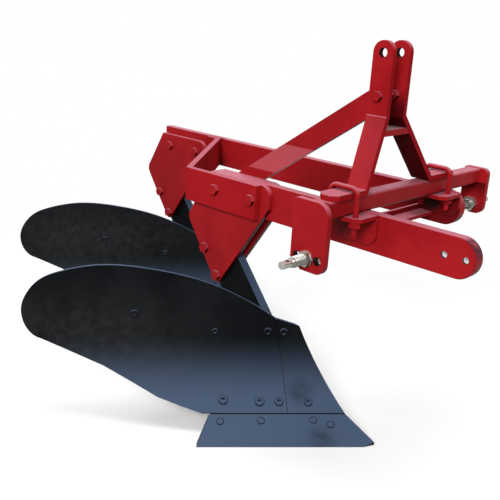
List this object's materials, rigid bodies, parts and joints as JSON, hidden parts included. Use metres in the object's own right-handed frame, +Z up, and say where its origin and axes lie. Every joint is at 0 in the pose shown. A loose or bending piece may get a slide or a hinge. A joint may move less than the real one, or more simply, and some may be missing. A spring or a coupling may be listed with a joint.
{
  "type": "moldboard plough",
  "caption": "Mounted moldboard plough with right-hand bodies on staggered flat beams, three-point mast, cross tube and lower hitch pins.",
  "frame": {"origin": "middle of the sole of the front body's landside, on the ground", "axes": "+X forward, +Y to the left, +Z up"},
  "size_m": [1.5437, 1.0309, 0.9091],
  "materials": {
    "red_paint": "gloss",
    "black_paint": "satin",
    "zinc_steel": "satin"
  },
  "bodies": {
    "root": {"beam_left": "red_paint", "beam_right": "red_paint", "clamp_lug_left": "red_paint", "clamp_lug_right": "red_paint", "clamp_pad_left": "red_paint", "clamp_pad_right": "red_paint", "cross_member": "red_paint", "cross_tie": "red_paint", "cross_tube": "red_paint", "frog_bolts_front": "black_paint", "frog_bolts_rear": "black_paint", "frog_front": "black_paint", "frog_rear": "black_paint", "hitch_pin_left": "zinc_steel", "hitch_pin_right": "zinc_steel", "hitch_plate_left": "red_paint", "hitch_plate_right": "red_paint", "landside_front": "black_paint", "landside_rear": "black_paint", "leg_front": "black_paint", "leg_rear": "black_paint", "mast_bolt": "red_paint", "mast_brace": "red_paint", "mast_strap_left": "red_paint", "mast_strap_right": "red_paint", "mast_tie_plate": "red_paint", "mouldboard_front": "black_paint", "mouldboard_rear": "black_paint", "plate_bolts_front": "red_paint", "plate_bolts_rear": "red_paint", "plate_left_front": "red_paint", "plate_left_rear": "red_paint", "plate_right_front": "red_paint", "plate_right_rear": "red_paint", "share_front": "black_paint", "share_rear": "black_paint", "shin_front": "black_paint", "shin_rear": "black_paint", "stay_front": "black_paint", "stay_rear": "black_paint", "u_bolt_left": "red_paint", "u_bolt_right": "red_paint"}
  },
  "joints": []
}
